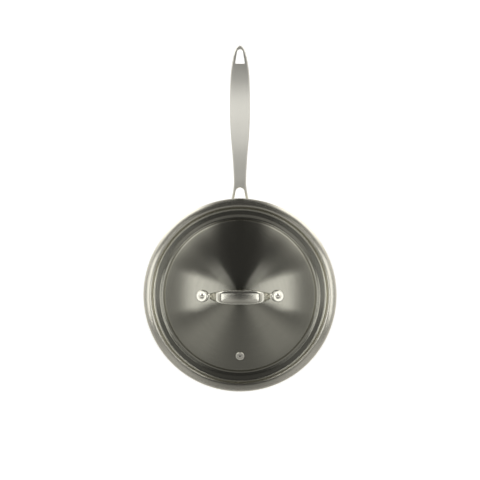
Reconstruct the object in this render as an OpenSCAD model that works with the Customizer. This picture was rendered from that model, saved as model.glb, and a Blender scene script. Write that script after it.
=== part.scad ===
// Lidded saute pan with a flared pouring rim, a forked cast handle and a domed lid.
// The origin is the centre of the base's underside, the long handle points along +Y, and +Z is up.

/* [Vessel] */
// Inner diameter of the wall
vessel_inner_d = 240; // [228:1:252]
// Height of the rim's top above the surface that the pan stands on
vessel_h = 78; // [76:1:90]
// Thickness of the vessel's sheet
vessel_t = 1.2; // [0.8:0.1:2]
// Inner radius of the corner between floor and wall
vessel_corner_r = 14; // [8:1:16]
// Radius of the flared rim's upper face
flare_r = 10.5; // [9:0.5:12]
// Angle above the outward direction at which the flared rim ends
flare_end_a = 58; // [30:1:80]

/* [Base] */
// Diameter of the heat spreading disc
core_d = 204; // [160:1:206]
// Thickness of the heat spreading disc
core_h = 6; // [4:0.5:8]
// Thickness of the capsule round the disc
cap_t = 0.8; // [0.5:0.1:1.2]
// Radius of the capsule's lower edge
cap_edge_r = 3.5; // [2:0.5:4.5]

/* [Long handle] */
// Distance from the pan's axis to the handle's tip
handle_reach = 346.8; // [320:0.1:370]
// Greatest width of the grip
handle_w = 28; // [24:0.5:32]
// Width of the neck
neck_w = 17.8; // [16:0.1:20]
// Thickness of the grip
handle_t = 8; // [6:0.5:11]
// Height of the handle's middle line above its root, at the highest place
handle_rise = 47; // [35:1:60]
// Height of the handle's root above the surface that the pan stands on
handle_root_z = 51; // [48:1:53]
// Width of the bevel along the upper edges
handle_bevel_w = 1.7; // [0.8:0.1:2.5]
// Drop of the crowned upper face from its middle to the bevel
handle_crown = 0.5; // [0.1:0.1:1]
// Width across the fork's outer edges at the mounting plate
fork_w = 33; // [28:1:36]
// Width of each leg of the fork at the mounting plate
fork_leg_w = 4.8; // [3.5:0.1:7]
// Distance from the pan's axis to the top of the fork's arch
fork_arch_y = 152; // [148:0.5:156]
// Width of the fork's arch
fork_arch_w = 12.7; // [10:0.1:13.5]
// Length of the hanging hole
hang_hole_l = 19.9; // [15:0.1:22]
// Width of the hanging hole's straight side
hang_hole_w = 13; // [10:0.1:14]
// Radius of the hanging hole's narrow end
hang_hole_tip_r = 4; // [3:0.1:4.5]
// Width of the band between the hanging hole and the tip
hang_band_w = 5.7; // [4.5:0.1:7]

/* [Mounting plate] */
// Width of the plate
plate_w = 58; // [54:1:64]
// Height of the plate's bar
plate_h = 20; // [18:1:24]
// Thickness of the plate
plate_t = 2.8; // [2.2:0.1:3.5]
// Distance from the plate's middle to an outer rivet, sideways
rivet_side = 21.5; // [21:0.5:24]
// Distance from the plate's middle down to the middle rivet
rivet_drop = 9; // [8:0.5:11]
// Shank diameter of the handle rivets
rivet_d = 5; // [4:0.1:5.5]
// Diameter of the head inside the pan
rivet_inner_head_d = 11; // [9:0.5:13]
// Height of the head inside the pan
rivet_inner_head_h = 2; // [1.2:0.1:2.5]
// Diameter of the outer head on the plate
rivet_outer_head_d = 8; // [7:0.5:8.5]
// Height of the outer head on the plate
rivet_outer_head_h = 1.6; // [1:0.1:2.2]

/* [Lid] */
// Distance by which the lid's rolled edge reaches past the vessel's wall
lid_overlap = 2.3; // [1.8:0.1:3.4]
// Thickness of the lid's sheet
lid_t = 0.8; // [0.6:0.1:1.2]
// Radius of the spherical dome's upper face
dome_r = 230; // [210:5:300]
// Width of the step and flange round the dome
lid_margin = 17.8; // [16.5:0.1:22]
// Steepest slope of the step
step_a = 46; // [36:1:56]
// Radius of the step's upper bend
shoulder_r = 4; // [2:0.5:6]
// Radius of the step's lower bend
valley_r = 6; // [3:0.5:7]
// Radius of the rolled edge
bead_r = 1.1; // [0.9:0.1:1.4]
// Upward slope of the flange towards the rolled edge
flange_a = 2; // [0:0.5:4]

/* [Lid handle] */
// Distance from the lid's axis to each rivet, square to the axis
foot_offset = 52; // [50:0.5:62]
// Diameter of each foot
foot_d = 17; // [14:0.5:18]
// Height of each foot
foot_h = 4.5; // [3.8:0.1:6]
// Radius of the foot's upper edge
foot_edge_r = 1.5; // [0.5:0.1:2.5]
// Height of the strap's top above the dome's top
strap_top_h = 27; // [24:0.5:36]
// Width of the strap at its middle
strap_w = 18.5; // [16:0.5:24]
// Width of the strap's neck at each foot
strap_neck_w = 6.6; // [5:0.1:8]
// Thickness of the strap
strap_t = 5; // [4:0.1:6.5]
// Thickness of the strap's toe at each foot
toe_t = 3.4; // [2.8:0.1:3.6]
// Length of the strap's level top
strap_top_l = 42; // [36:1:48]
// Slope of the crowned top where the bends start
strap_crown_a = 5; // [2:0.5:8]
// Radius of the bends between the top and the legs
strap_bend_r = 13; // [10:0.5:16]
// Radius of the bends between the legs and the toes
toe_bend_r = 7; // [5:0.5:9]
// Straight length of each toe beyond its bend
toe_run = 2.7; // [2:0.1:4]
// Depth of the toe's upper face below the foot's
toe_sink = 0.5; // [0.3:0.1:1]

/* [Lid rivets] */
// Shank diameter of the lid rivets
lid_rivet_d = 4.5; // [3.5:0.1:5]
// Diameter of the domed head on the foot
lid_rivet_head_d = 8.3; // [7:0.1:9]
// Height of the domed head on the foot
lid_rivet_head_h = 2.2; // [1.4:0.1:2.8]
// Diameter of the flat head under the lid
lid_rivet_tail_d = 10; // [8:0.5:12]
// Height of the flat head under the lid
lid_rivet_tail_h = 1.2; // [0.8:0.1:1.8]

/* [Vent] */
// Distance from the dome's edge inward to the vent, square to the axis
vent_inset = 20.5; // [16:0.5:35]
// Outer diameter of the eyelet's rolled ring
eyelet_d = 11.8; // [10.5:0.1:13]
// Height of the rolled ring above the lid
eyelet_h = 1.8; // [1.2:0.1:2.4]
// Diameter of the eyelet's barrel
eyelet_barrel_d = 7.4; // [6.8:0.1:8.4]
// Diameter of the eyelet's flared end under the lid
eyelet_tail_d = 9.8; // [9:0.1:11]
// Thickness of the flared end under the lid
eyelet_tail_h = 1; // [0.7:0.1:1.5]
// Distance across the points of the vent's four pointed hole
vent_star_d = 5.4; // [4.6:0.1:5.8]
// Distance across the hollows of the vent's four pointed hole
vent_waist_d = 2.6; // [2:0.1:2.8]

/* [Fit] */
// Gap between the lid's rolled edge and the flared rim
lid_gap = 0.3; // [0.2:0.05:0.6]
// Gap under a piece that is seated on a curved face
seat_gap = 0.05; // [0.03:0.01:0.1]

/* [Hidden] */
$fn = 144;

// One overrun serves all cuts
overrun = 1;
// Largest turn between two points of an arc in an outline
arc_step_a = 4;
// Largest turn between two points of the dome's outline
dome_step_a = 1.5;

steel = [0.78, 0.77, 0.73];
satin_steel = [0.74, 0.74, 0.69];
polished_steel = [0.86, 0.85, 0.82];
aluminium = [0.66, 0.67, 0.69];

// Vessel
wall_r = vessel_inner_d / 2;
wall_outer_r = wall_r + vessel_t;
base_top_z = cap_t + core_h;
floor_z = base_top_z + vessel_t;
corner_c = [wall_r - vessel_corner_r, floor_z + vessel_corner_r];
flare_c = [wall_r + flare_r, vessel_h - flare_r];
plate_face_r = wall_outer_r + plate_t;

// Lid: the rolled edge lies against the flared rim's upper face
bead_x = wall_r + lid_overlap - bead_r;
bead_reach = flare_r + lid_gap + bead_r;
bead_z = flare_c[1] + sqrt(pow(bead_reach, 2) - pow(flare_c[0] - bead_x, 2));
dome_edge_r = bead_x + bead_r - lid_margin;
dome_edge_a = asin(dome_edge_r / dome_r);
// The bends' centres and the flange's inner end, measured from the dome's centre
shoulder_c = (dome_r - shoulder_r) * [sin(dome_edge_a), cos(dome_edge_a)];
valley_c = shoulder_c + (shoulder_r + valley_r) * [sin(step_a), cos(step_a)];
flange_in = valley_c + valley_r * [sin(flange_a), -cos(flange_a)];
flange_rise = (bead_x - flange_in[0]) * tan(flange_a);
// Height of the dome's centre, with the flange's sheet level with the rolled edge's middle
dome_z = bead_z + lid_t / 2 - flange_in[1] - flange_rise;
dome_top_z = dome_z + dome_r;
// Depth at which a flat face of diameter d seats inside the dome
function seat_depth(d) = lid_t + seat_gap + dome_r - sqrt(pow(dome_r, 2) - pow(d / 2, 2));
foot_a = asin(foot_offset / dome_r);
vent_a = asin((dome_edge_r - vent_inset) / dome_r);

// Points of an arc about c with radius r, from angle a0 to angle a1
function arc(c, r, a0, a1, step = arc_step_a) =
    let (steps = max(1, ceil(abs(a1 - a0) / step)))
    [for (i = [0:steps])
        let (a = a0 + (a1 - a0) * i / steps)
        c + r * [cos(a), sin(a)]];

// Slope of a smooth curve through a table's [place, value] pairs, at pair i
function slope_at(t, i) =
    let (a = max(i - 1, 0), b = min(i + 1, len(t) - 1))
    (t[b][1] - t[a][1]) / (t[b][0] - t[a][0]);
function span_of(t, s, i = 0) = i >= len(t) - 2 || s < t[i + 1][0] ? i : span_of(t, s, i + 1);
// Value of that curve at place s
function smooth(t, s) =
    let (i = span_of(t, s),
         w = t[i + 1][0] - t[i][0],
         u = (s - t[i][0]) / w,
         u2 = u * u,
         u3 = u2 * u)
    (2 * u3 - 3 * u2 + 1) * t[i][1] + (3 * u2 - 2 * u3) * t[i + 1][1]
    + w * ((u3 - 2 * u2 + u) * slope_at(t, i) + (u3 - u2) * slope_at(t, i + 1));

// Skin over rings of points, each ring clockwise as seen from the loft's start
module loft(rings) {
    m = len(rings[0]);
    last = (len(rings) - 1) * m;
    sides = [for (i = [0:len(rings) - 2]) for (j = [0:m - 1])
        let (a = i * m + j, b = i * m + (j + 1) % m)
        each [[a, a + m, b], [b, a + m, b + m]]];
    polyhedron(
        points = [for (ring = rings) each ring],
        faces = concat([[for (j = [0:m - 1]) j]], sides, [[for (j = [m - 1:-1:0]) last + j]]),
        convexity = 6);
}

// Puts its children on the dome's upper face at angle a from the top, in the direction turn
module on_dome(a, turn) {
    translate([0, 0, dome_z])
        rotate([0, 0, turn])
            rotate([0, a, 0])
                translate([0, 0, dome_r])
                    children();
}

// Spherical cap of height h over diameter d
module domed_head(d, h) {
    r = (pow(d / 2, 2) + pow(h, 2)) / (2 * h);
    intersection() {
        translate([0, 0, h - r])
            sphere(r = r);
        cylinder(d = d + overrun, h = h + overrun);
    }
}

// Vessel: one sheet with a flat floor, a round corner, a straight wall and a flared rim
module vessel_outline() {
    edge_r = vessel_t / 2;
    edge_c = flare_c + (flare_r - edge_r) * [cos(flare_end_a), sin(flare_end_a)];
    polygon(concat(
        [[0, floor_z]],
        arc(corner_c, vessel_corner_r, -90, 0),
        arc(flare_c, flare_r, 180, flare_end_a),
        arc(edge_c, edge_r, flare_end_a, flare_end_a - 180),
        arc(flare_c, flare_r - vessel_t, flare_end_a, 180),
        arc(corner_c, vessel_corner_r + vessel_t, 0, -90),
        [[0, base_top_z]]));
}

module pan_shell() {
    color(steel)
        difference() {
            rotate_extrude()
                vessel_outline();
            at_handle_rivets()
                rivet_hole();
        }
}

// Outline of a base piece of radius r with a round lower edge, from height z up to the vessel
function base_outline(r, edge_r, z) = concat(
    [[0, z]],
    arc([r - edge_r, z + edge_r], edge_r, -90, 0),
    [[r, base_top_z]]);

// Heat spreading disc, pressed between the floor and the capsule
module base_core() {
    color(aluminium)
        rotate_extrude()
            polygon(concat(base_outline(core_d / 2, cap_edge_r - cap_t, cap_t), [[0, base_top_z]]));
}

// Capsule: a shallow cup that closes the disc in
module base_cap() {
    inner_r = core_d / 2 + seat_gap;
    inside = base_outline(inner_r, cap_edge_r - cap_t, cap_t);
    color(satin_steel)
        rotate_extrude()
            polygon(concat(
                base_outline(inner_r + cap_t, cap_edge_r, 0),
                [for (i = [len(inside) - 1:-1:0]) inside[i]]));
}

// Handle rivets: [sideways, up] from the middle of the mounting plate
rivet_places = [[-rivet_side, 0], [rivet_side, 0], [0, -rivet_drop]];

// Puts its children at each handle rivet, with the origin on the pan's axis and Z pointing outward
module at_handle_rivets() {
    for (p = rivet_places)
        translate([0, 0, handle_root_z + p[1]])
            rotate([0, 0, -asin(p[0] / wall_outer_r)])
                rotate([-90, 0, 0])
                    children();
}

module rivet_hole() {
    translate([0, 0, corner_c[0]])
        cylinder(d = rivet_d, h = plate_face_r - corner_c[0] + overrun);
}

// Each rivet: a low head inside the pan, a shank through wall and plate, and an outer head
module handle_rivets() {
    color(polished_steel)
        at_handle_rivets() {
            intersection() {
                translate([0, 0, wall_r])
                    mirror([0, 0, 1])
                        domed_head(rivet_inner_head_d, rivet_inner_head_h);
                rotate([90, 0, 0])
                    cylinder(r = wall_r, h = vessel_h, center = true, $fn = 240);
            }
            translate([0, 0, wall_r - rivet_inner_head_h / 2])
                cylinder(d = rivet_d, h = plate_face_r - wall_r + rivet_inner_head_h / 2 + rivet_outer_head_h / 2);
            translate([0, 0, plate_face_r])
                domed_head(rivet_outer_head_d, rivet_outer_head_h);
        }
}

// Long handle: its root is at the wall's outer face, and s runs from 0 there to 1 at the tip
handle_l = handle_reach - wall_outer_r;
neck_share = 0.17;
grip_share = 0.67;
// Growth of the width from the neck, at 0, to the grip, at 1
grip_width_shares = [[0.17, 0], [0.2, 0.02], [0.25, 0.1], [0.3, 0.24], [0.35, 0.4], [0.4, 0.59], [0.45, 0.77],
                     [0.5, 0.89], [0.55, 0.97], [0.6, 0.99], [0.67, 1]];
// Square of the width at the tip, as a share of the grip's, against the share of the length from the tip
tip_width_shares = [[0, 0], [0.01, 0.086], [0.023, 0.195], [0.038, 0.295], [0.063, 0.43], [0.09, 0.55],
                    [0.14, 0.745], [0.19, 0.885], [0.25, 0.955], [0.33, 1]];
// Height of the middle line, as a share of the rise
spine_shares = [[0, 0], [0.06, 0.09], [0.12, 0.225], [0.19, 0.37], [0.36, 0.62], [0.54, 0.81], [0.62, 0.88],
                [0.7, 0.94], [0.78, 0.98], [0.88, 1], [1, 0.99]];
// Thickness, as a share of the grip's
handle_t_shares = [[0, 1.1], [0.16, 0.85], [0.35, 0.9], [0.6, 1], [0.85, 0.75], [0.97, 0.6], [1, 0.4]];
// How fast the fork opens below the neck
fork_power_share = 1.6;
// Upper face across the handle: [share of the half width inside the bevel, share of the crown's drop]
crown_shares = [[0, 0], [0.5, 0.25], [1, 1]];
// Bevel: [share of its width, share of its drop], from its inner edge outward
bevel_shares = [[0.75, 0.55], [1, 1]];
// Belly: [share of its half width, share of the depth], from its round edge to the middle
belly_shares = [[0.8, 0.97], [0.33, 0.995]];
// Largest share of the half width, and share of the lower half's depth, that the belly's round edge takes
belly_edge_share = 0.7;
belly_drop_share = 0.9;
// Half width of the last ring, as a share of the bevel
tip_share = 0.33;
// Rings along the handle, and how much closer they lie towards the tip
handle_rings = 56;
ring_power_share = 1.5;

function handle_half_w(s) =
    s > grip_share ? handle_w / 2 * sqrt(max(0, smooth(tip_width_shares, 1 - s)))
    : s > neck_share ? (neck_w + (handle_w - neck_w) * smooth(grip_width_shares, s)) / 2
    : (neck_w + (fork_w - neck_w) * pow(1 - s / neck_share, fork_power_share)) / 2;

function handle_mid_z(s) = handle_root_z + handle_rise * smooth(spine_shares, s);

// Outline across the handle: a crowned top, bevelled upper edges, straight sides and a round belly
function handle_ring(s) =
    let (w = max(handle_half_w(s), handle_bevel_w * tip_share),
         t = handle_t * smooth(handle_t_shares, s),
         b = min(handle_bevel_w, w / 2, t / 3),
         crown = handle_crown * 2 * w / handle_w,
         belly = w - min(w * belly_edge_share, t / 2),
         right = concat(
             [for (p = crown_shares) [(w - b) * p[0], crown * p[1]]],
             [for (p = bevel_shares) [w - b + b * p[0], crown + b * p[1]]],
             [for (a = [0:15:75]) [belly + (w - belly) * cos(a), t / 2 * (1 + belly_drop_share * sin(a))]],
             [for (p = belly_shares) [belly * p[0], t * p[1]]]),
         all = concat(right, [[0, t]], [for (i = [len(right) - 1:-1:1]) [-right[i][0], right[i][1]]]))
    [for (p = all) [p[0], wall_outer_r + s * handle_l, handle_mid_z(s) + t / 2 - p[1]]];

// Plan of the hanging hole: a round narrow end and a straight side towards the grip
module hang_hole_plan() {
    end_y = handle_reach - hang_band_w - hang_hole_tip_r;
    length = hang_hole_l - hang_hole_tip_r;
    corner = [hang_hole_w / 2, length];
    side_a = acos(hang_hole_tip_r / norm(corner)) - atan2(corner[1], corner[0]);
    polygon(concat(
        arc([0, end_y], hang_hole_tip_r, side_a, 180 - side_a, arc_step_a * 3),
        [[-corner[0], end_y - length], [corner[0], end_y - length]]));
}

// Plan of the fork's opening: an arch whose sides spread towards the mounting plate
module fork_opening_plan() {
    r = fork_arch_w / 2;
    foot_x = fork_w / 2 - fork_leg_w;
    polygon(concat(
        arc([0, fork_arch_y - r], r, 0, 180, arc_step_a * 3),
        [[-foot_x, wall_outer_r - overrun], [foot_x, wall_outer_r - overrun]]));
}

// Outline of the mounting plate, seen along Y: a bar with round ends and a lobe for the middle rivet
module plate_outline() {
    r = plate_h / 2;
    end_x = plate_w / 2 - r;
    polygon(concat(
        arc([end_x, 0], r, -90, 90),
        arc([-end_x, 0], r, 90, 270)));
    polygon(concat(
        arc([0, -rivet_drop], r, -180, 0),
        [[r, 0], [-r, 0]]));
}

module mounting_plate() {
    intersection() {
        translate([0, plate_face_r + overrun, handle_root_z])
            rotate([90, 0, 0])
                linear_extrude(height = wall_outer_r / 2)
                    plate_outline();
        difference() {
            cylinder(r = plate_face_r, h = vessel_h);
            translate([0, 0, -overrun])
                cylinder(r = wall_outer_r, h = vessel_h + 2 * overrun);
        }
    }
}

module long_handle() {
    top_z = handle_root_z + handle_rise + handle_t;
    color(satin_steel)
        difference() {
            union() {
                difference() {
                    loft([for (i = [0:handle_rings]) handle_ring(1 - pow(1 - i / handle_rings, ring_power_share))]);
                    linear_extrude(height = top_z)
                        hang_hole_plan();
                    linear_extrude(height = top_z)
                        fork_opening_plan();
                    cylinder(r = wall_outer_r + plate_t / 2, h = top_z);
                }
                mounting_plate();
            }
            at_handle_rivets()
                rivet_hole();
        }
}

// Lid: one spun sheet with a spherical dome, a step, a narrow flange and a rolled edge
module lid_outline() {
    polygon(concat(
        arc([0, 0], dome_r, 90, 90 - dome_edge_a, dome_step_a),
        arc(shoulder_c, shoulder_r, 90 - dome_edge_a, 90 - step_a),
        arc(valley_c, valley_r, 270 - step_a, 270 + flange_a),
        [[bead_x, flange_in[1] + flange_rise]],
        [[bead_x, flange_in[1] + flange_rise - lid_t]],
        arc(valley_c, valley_r + lid_t, 270 + flange_a, 270 - step_a),
        arc(shoulder_c, shoulder_r - lid_t, 90 - step_a, 90 - dome_edge_a),
        arc([0, 0], dome_r - lid_t, 90 - dome_edge_a, 90, dome_step_a)));
}

module lid_shell() {
    color(steel)
        difference() {
            union() {
                translate([0, 0, dome_z])
                    rotate_extrude()
                        lid_outline();
                translate([0, 0, bead_z])
                    rotate_extrude()
                        translate([bead_x, 0])
                            circle(r = bead_r, $fn = 36);
            }
            for (turn = [0, 180])
                on_dome(foot_a, turn)
                    cylinder(d = lid_rivet_d, h = foot_h, center = true);
            on_dome(vent_a, -90)
                cylinder(d = eyelet_barrel_d, h = foot_h, center = true);
        }
}

// Lid handle: the middle line of one half of the strap, as [x, z, slope] with x along the strap
strap_top_z = dome_top_z + strap_top_h - strap_t / 2;
crown_r = strap_top_l / 2 / sin(strap_crown_a);
crown_c = [0, strap_top_z - crown_r];
bend_c = crown_c + (crown_r - strap_bend_r) * [sin(strap_crown_a), cos(strap_crown_a)];
// The toe ends inside the foot, halfway between the foot's edge and the rivet's head
toe_reach = (foot_d + lid_rivet_head_d) / 4;
toe_height = foot_h - toe_sink - toe_t / 2;
foot_axis = [sin(foot_a), cos(foot_a)];
foot_along = [cos(foot_a), -sin(foot_a)];
toe_end = [0, dome_z] + (dome_r + toe_height) * foot_axis - toe_reach * foot_along;
toe_c = toe_end - toe_run * foot_along + toe_bend_r * foot_axis;
// The leg is the line that touches both bends' circles
leg_d = toe_c - bend_c;
leg_a = 90 - atan2(leg_d[1], leg_d[0]) - acos((strap_bend_r + toe_bend_r) / norm(leg_d));

function bend_points(c, r, a0, a1, steps, inside = 1) =
    [for (i = [0:steps])
        let (a = a0 + (a1 - a0) * i / steps)
        [c[0] + inside * r * sin(a), c[1] + inside * r * cos(a), a]];

// The crown's last point is left to the bend
half_strap = concat(
    [for (p = bend_points(crown_c, crown_r, 0, strap_crown_a, 3)) if (p[2] < strap_crown_a) p],
    bend_points(bend_c, strap_bend_r, strap_crown_a, leg_a, 10),
    bend_points(toe_c, toe_bend_r, leg_a, foot_a, 6, -1),
    [[toe_end[0], toe_end[1], foot_a]]);

// Growth of the strap's width from the neck, at 0, to its middle, at 1, against the share of its half length
strap_width_shares = [[0, 1], [0.32, 0.98], [0.46, 0.88], [0.61, 0.69], [0.76, 0.42], [0.86, 0.17], [0.93, 0.03],
                      [1, 0]];
// Squareness of the strap's section, between an ellipse at 1 and a rectangle at 0
strap_round_share = 0.72;
// How late the strap's thickness tapers to the toe's
strap_taper_share = 4;
strap_points = 24;

// Outline across the strap at a place [x, z, slope] of its middle line
function strap_ring(p) =
    let (reach = min(1, abs(p[0]) / toe_end[0]),
         w = (strap_neck_w + (strap_w - strap_neck_w) * smooth(strap_width_shares, reach)) / 2,
         t = (toe_t + (strap_t - toe_t) * (1 - pow(reach, strap_taper_share))) / 2)
    [for (i = [0:strap_points - 1])
        let (a = 360 * i / strap_points,
             y = w * sign(cos(a)) * pow(abs(cos(a)), strap_round_share),
             n = t * sign(sin(a)) * pow(abs(sin(a)), strap_round_share))
        [p[0] + n * sin(p[2]), y, p[1] + n * cos(p[2])]];

module strap() {
    last = len(half_strap) - 1;
    loft([for (i = [-last:last])
        let (p = half_strap[abs(i)], side = i < 0 ? -1 : 1)
        strap_ring([side * p[0], p[1], side * p[2]])]);
}

module foot() {
    r = foot_d / 2;
    rotate_extrude()
        polygon(concat(
            [[0, seat_gap], [r, seat_gap]],
            arc([r - foot_edge_r, foot_h - foot_edge_r], foot_edge_r, 0, 90, arc_step_a * 2),
            [[0, foot_h]]));
}

module lid_handle() {
    color(satin_steel)
        difference() {
            union() {
                strap();
                for (turn = [0, 180])
                    on_dome(foot_a, turn)
                        foot();
            }
            for (turn = [0, 180])
                on_dome(foot_a, turn)
                    translate([0, 0, -overrun])
                        cylinder(d = lid_rivet_d, h = foot_h + 2 * overrun);
        }
}

// Each lid rivet: a domed head on the foot, a shank through foot and lid, and a flat head under the lid
module lid_rivets() {
    seat_z = -seat_depth(lid_rivet_tail_d);
    color(polished_steel)
        for (turn = [0, 180])
            on_dome(foot_a, turn) {
                translate([0, 0, foot_h])
                    domed_head(lid_rivet_head_d, lid_rivet_head_h);
                translate([0, 0, seat_z - lid_rivet_tail_h / 2])
                    cylinder(d = lid_rivet_d, h = foot_h + lid_rivet_head_h / 2 - seat_z + lid_rivet_tail_h / 2);
                translate([0, 0, seat_z - lid_rivet_tail_h])
                    cylinder(d = lid_rivet_tail_d, h = lid_rivet_tail_h);
            }
}

// Plan of the vent's hole: four points with hollow sides between them
module vent_star() {
    p = vent_star_d / 2;
    h = vent_waist_d / 2;
    c = (pow(p, 2) - pow(h, 2)) / (sqrt(2) * p - 2 * h);
    half_a = atan2(c / sqrt(2), c / sqrt(2) - p) - 45;
    polygon([for (q = [0:90:270])
        each arc(c * [cos(q + 45), sin(q + 45)], c - h, q + 225 + half_a, q + 225 - half_a, half_a / 2)]);
}

// Vent eyelet: a rolled ring on the lid, a barrel through it and a flared end beneath
module vent_eyelet() {
    ring_r = eyelet_d / 2;
    roll_r = (ring_r - vent_waist_d / 2) / 2;
    throat_a = 150;
    throat_z = eyelet_h / 2 * (1 + sin(throat_a));
    seat_z = -seat_depth(eyelet_tail_d);
    color(polished_steel)
        on_dome(vent_a, -90)
            difference() {
                union() {
                    rotate_extrude()
                        polygon(concat(
                            [[0, seat_gap], [ring_r, seat_gap]],
                            [for (a = [0:15:throat_a])
                                [ring_r - roll_r + roll_r * cos(a), eyelet_h / 2 * (1 + sin(a))]],
                            [[0, throat_z]]));
                    translate([0, 0, seat_z - eyelet_tail_h / 2])
                        cylinder(d = eyelet_barrel_d, h = eyelet_h / 2 - seat_z + eyelet_tail_h / 2);
                    translate([0, 0, seat_z - eyelet_tail_h])
                        cylinder(d = eyelet_tail_d, h = eyelet_tail_h);
                }
                linear_extrude(height = foot_h * 2, center = true)
                    vent_star();
            }
}

pan_shell();
base_core();
base_cap();
long_handle();
handle_rivets();
lid_shell();
lid_handle();
lid_rivets();
vent_eyelet();
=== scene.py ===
import math

import bpy
import numpy as np
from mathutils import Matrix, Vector, geometry

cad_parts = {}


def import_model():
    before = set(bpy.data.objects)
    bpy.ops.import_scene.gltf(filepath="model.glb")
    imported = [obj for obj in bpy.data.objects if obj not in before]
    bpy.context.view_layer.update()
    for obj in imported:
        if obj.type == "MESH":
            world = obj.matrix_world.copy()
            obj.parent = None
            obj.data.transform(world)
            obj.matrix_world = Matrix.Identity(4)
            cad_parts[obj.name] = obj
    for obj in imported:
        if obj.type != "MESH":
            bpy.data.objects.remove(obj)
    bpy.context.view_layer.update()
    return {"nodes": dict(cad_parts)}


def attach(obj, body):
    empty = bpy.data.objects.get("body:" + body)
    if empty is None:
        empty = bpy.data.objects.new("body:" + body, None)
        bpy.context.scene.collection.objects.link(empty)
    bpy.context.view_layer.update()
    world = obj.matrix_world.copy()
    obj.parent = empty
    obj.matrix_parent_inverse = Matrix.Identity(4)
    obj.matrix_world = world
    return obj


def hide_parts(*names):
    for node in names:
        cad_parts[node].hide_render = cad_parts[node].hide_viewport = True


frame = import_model()
nodes = frame["nodes"]

# Every size below is in millimetres and every angle in degrees, as in the part's source.
# MM takes a length to metres.
MM = 0.001

# Camera: straight above, on the photograph's centre
PHOTO_PX = 480
RIM_MM_PER_PX = 1.4057  # at the height of the pan's rim
CAMERA_Y = 77.6  # the photograph's centre lies this far from the pan's axis, towards the handle
CAMERA_ABOVE_RIM = 1250

# Vessel: floor, corner, wall, a flare outward, a tight roll over the top and a slope down to the edge
VESSEL_R = 120
VESSEL_T = 1.2
WALL_R = VESSEL_R + VESSEL_T
BASE_TOP_Z = 6.8
FLOOR_Z = BASE_TOP_Z + VESSEL_T
CORNER_R = 14
CORNER_C = (VESSEL_R - CORNER_R, FLOOR_Z + CORNER_R)
RIM_Z = 78
FLARE_R = 10.5
FLARE_C = (VESSEL_R + FLARE_R, RIM_Z - FLARE_R)
RIM_TOP_R = 127  # distance from the axis at which the rim is highest
ROLL_R = 3.6
ROLL_A = 54
SLOPE_R = 13
RIM_END_A = 45.2

# Mounting plate
PLATE_T = 2.8
PLATE_W = 58
PLATE_H = 20
PLATE_DROP = 9
PLATE_BEVEL = 0.5
PLATE_ROWS = [0.1, 0.25, PLATE_BEVEL]
PLATE_OFF_WALL = 0.02  # keeps the plate's inner face from lying in the wall's

# Lid: a dome, a shoulder that drops from it, a groove, a lip, a flange and a rolled edge.
# The valley is the source's plain bend there: it only gives the dome's height above the flange.
LID_T = 0.8
LID_GAP = 0.3
DOME_R = 230
BEAD_R = 1.1
BEAD_X = VESSEL_R + 2.3 - BEAD_R
BEAD_Z = FLARE_C[1] + math.sqrt((FLARE_R + LID_GAP + BEAD_R) ** 2 - (FLARE_C[0] - BEAD_X) ** 2)
BEAD_JOIN_A = 159  # the sheet runs into the rolled edge this far round it
BEAD_HIGHLIGHT_R = 119.6  # from here outward the rolled edge's colour is painted brighter: a painted highlight
LID_MARGIN = 17.8
STEP_A = 46
FLANGE_A = 2
SHOULDER_R = 4
VALLEY_R = 6
GROOVE_R = 3
LIP_R = 5
LIP_A = 33
DOME_EDGE_R = BEAD_X + BEAD_R - LID_MARGIN
DOME_EDGE_A = math.degrees(math.asin(DOME_EDGE_R / DOME_R))

# Vent: a rolled ring over a hollow barrel, with a thin plate that has the four pointed hole
VENT_R = DOME_EDGE_R - 20.5
EYELET_D = 11.8
EYELET_H = 1.8
EYELET_SWEEP_A = 150  # how far the ring's roll turns before it ends at the hole
BARREL_D = 7.4
BARREL_DEPTH = 3
BARREL_IN_R = 3.2
STAR_FOOT = 0.7  # underside of the thin plate, above the dome
STAR_D = 5.4
STAR_WAIST = 3.2
LID_HOLE_MARGIN = 0.9  # the lid's faces end this far from the barrel, under the ring
LID_HOLE_REACH = 6

# Long handle: s runs from 0 at the wall to 1 at the tip
HANDLE_L = 346.8 - WALL_R
HANDLE_W = 28
NECK_W = 17.8
FORK_W = 33
FORK_LEG_W = 4.8
FORK_POWER = 1.6
ARCH_Y = 152
ARCH_W = 12.7
HANDLE_T = 8
HANDLE_RISE = 47
HANDLE_ROOT_Z = 51
HANDLE_CROWN = 0.5
CROWN_MIN_W = 6
BELLY_MIN_W = 3
BELLY_SHARE = 0.7
BEVEL_W = 1.7
BEVEL_SOFT = 0.12
BEVEL_KNEE = 0.75  # the bevel steepens at this share of its width,
BEVEL_KNEE_DROP = 0.55  # where it lies this share of its depth below the face
EDGE_R = 0.7
HOLE_L = 19.9
HOLE_W = 13
HOLE_TIP_R = 4
HOLE_CORNER_R = 1.2
BAND_W = 5.7  # metal between the hole and the tip
ROOT_Y = 121.9
NECK_S = 0.17
GRIP_S = 0.67

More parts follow.
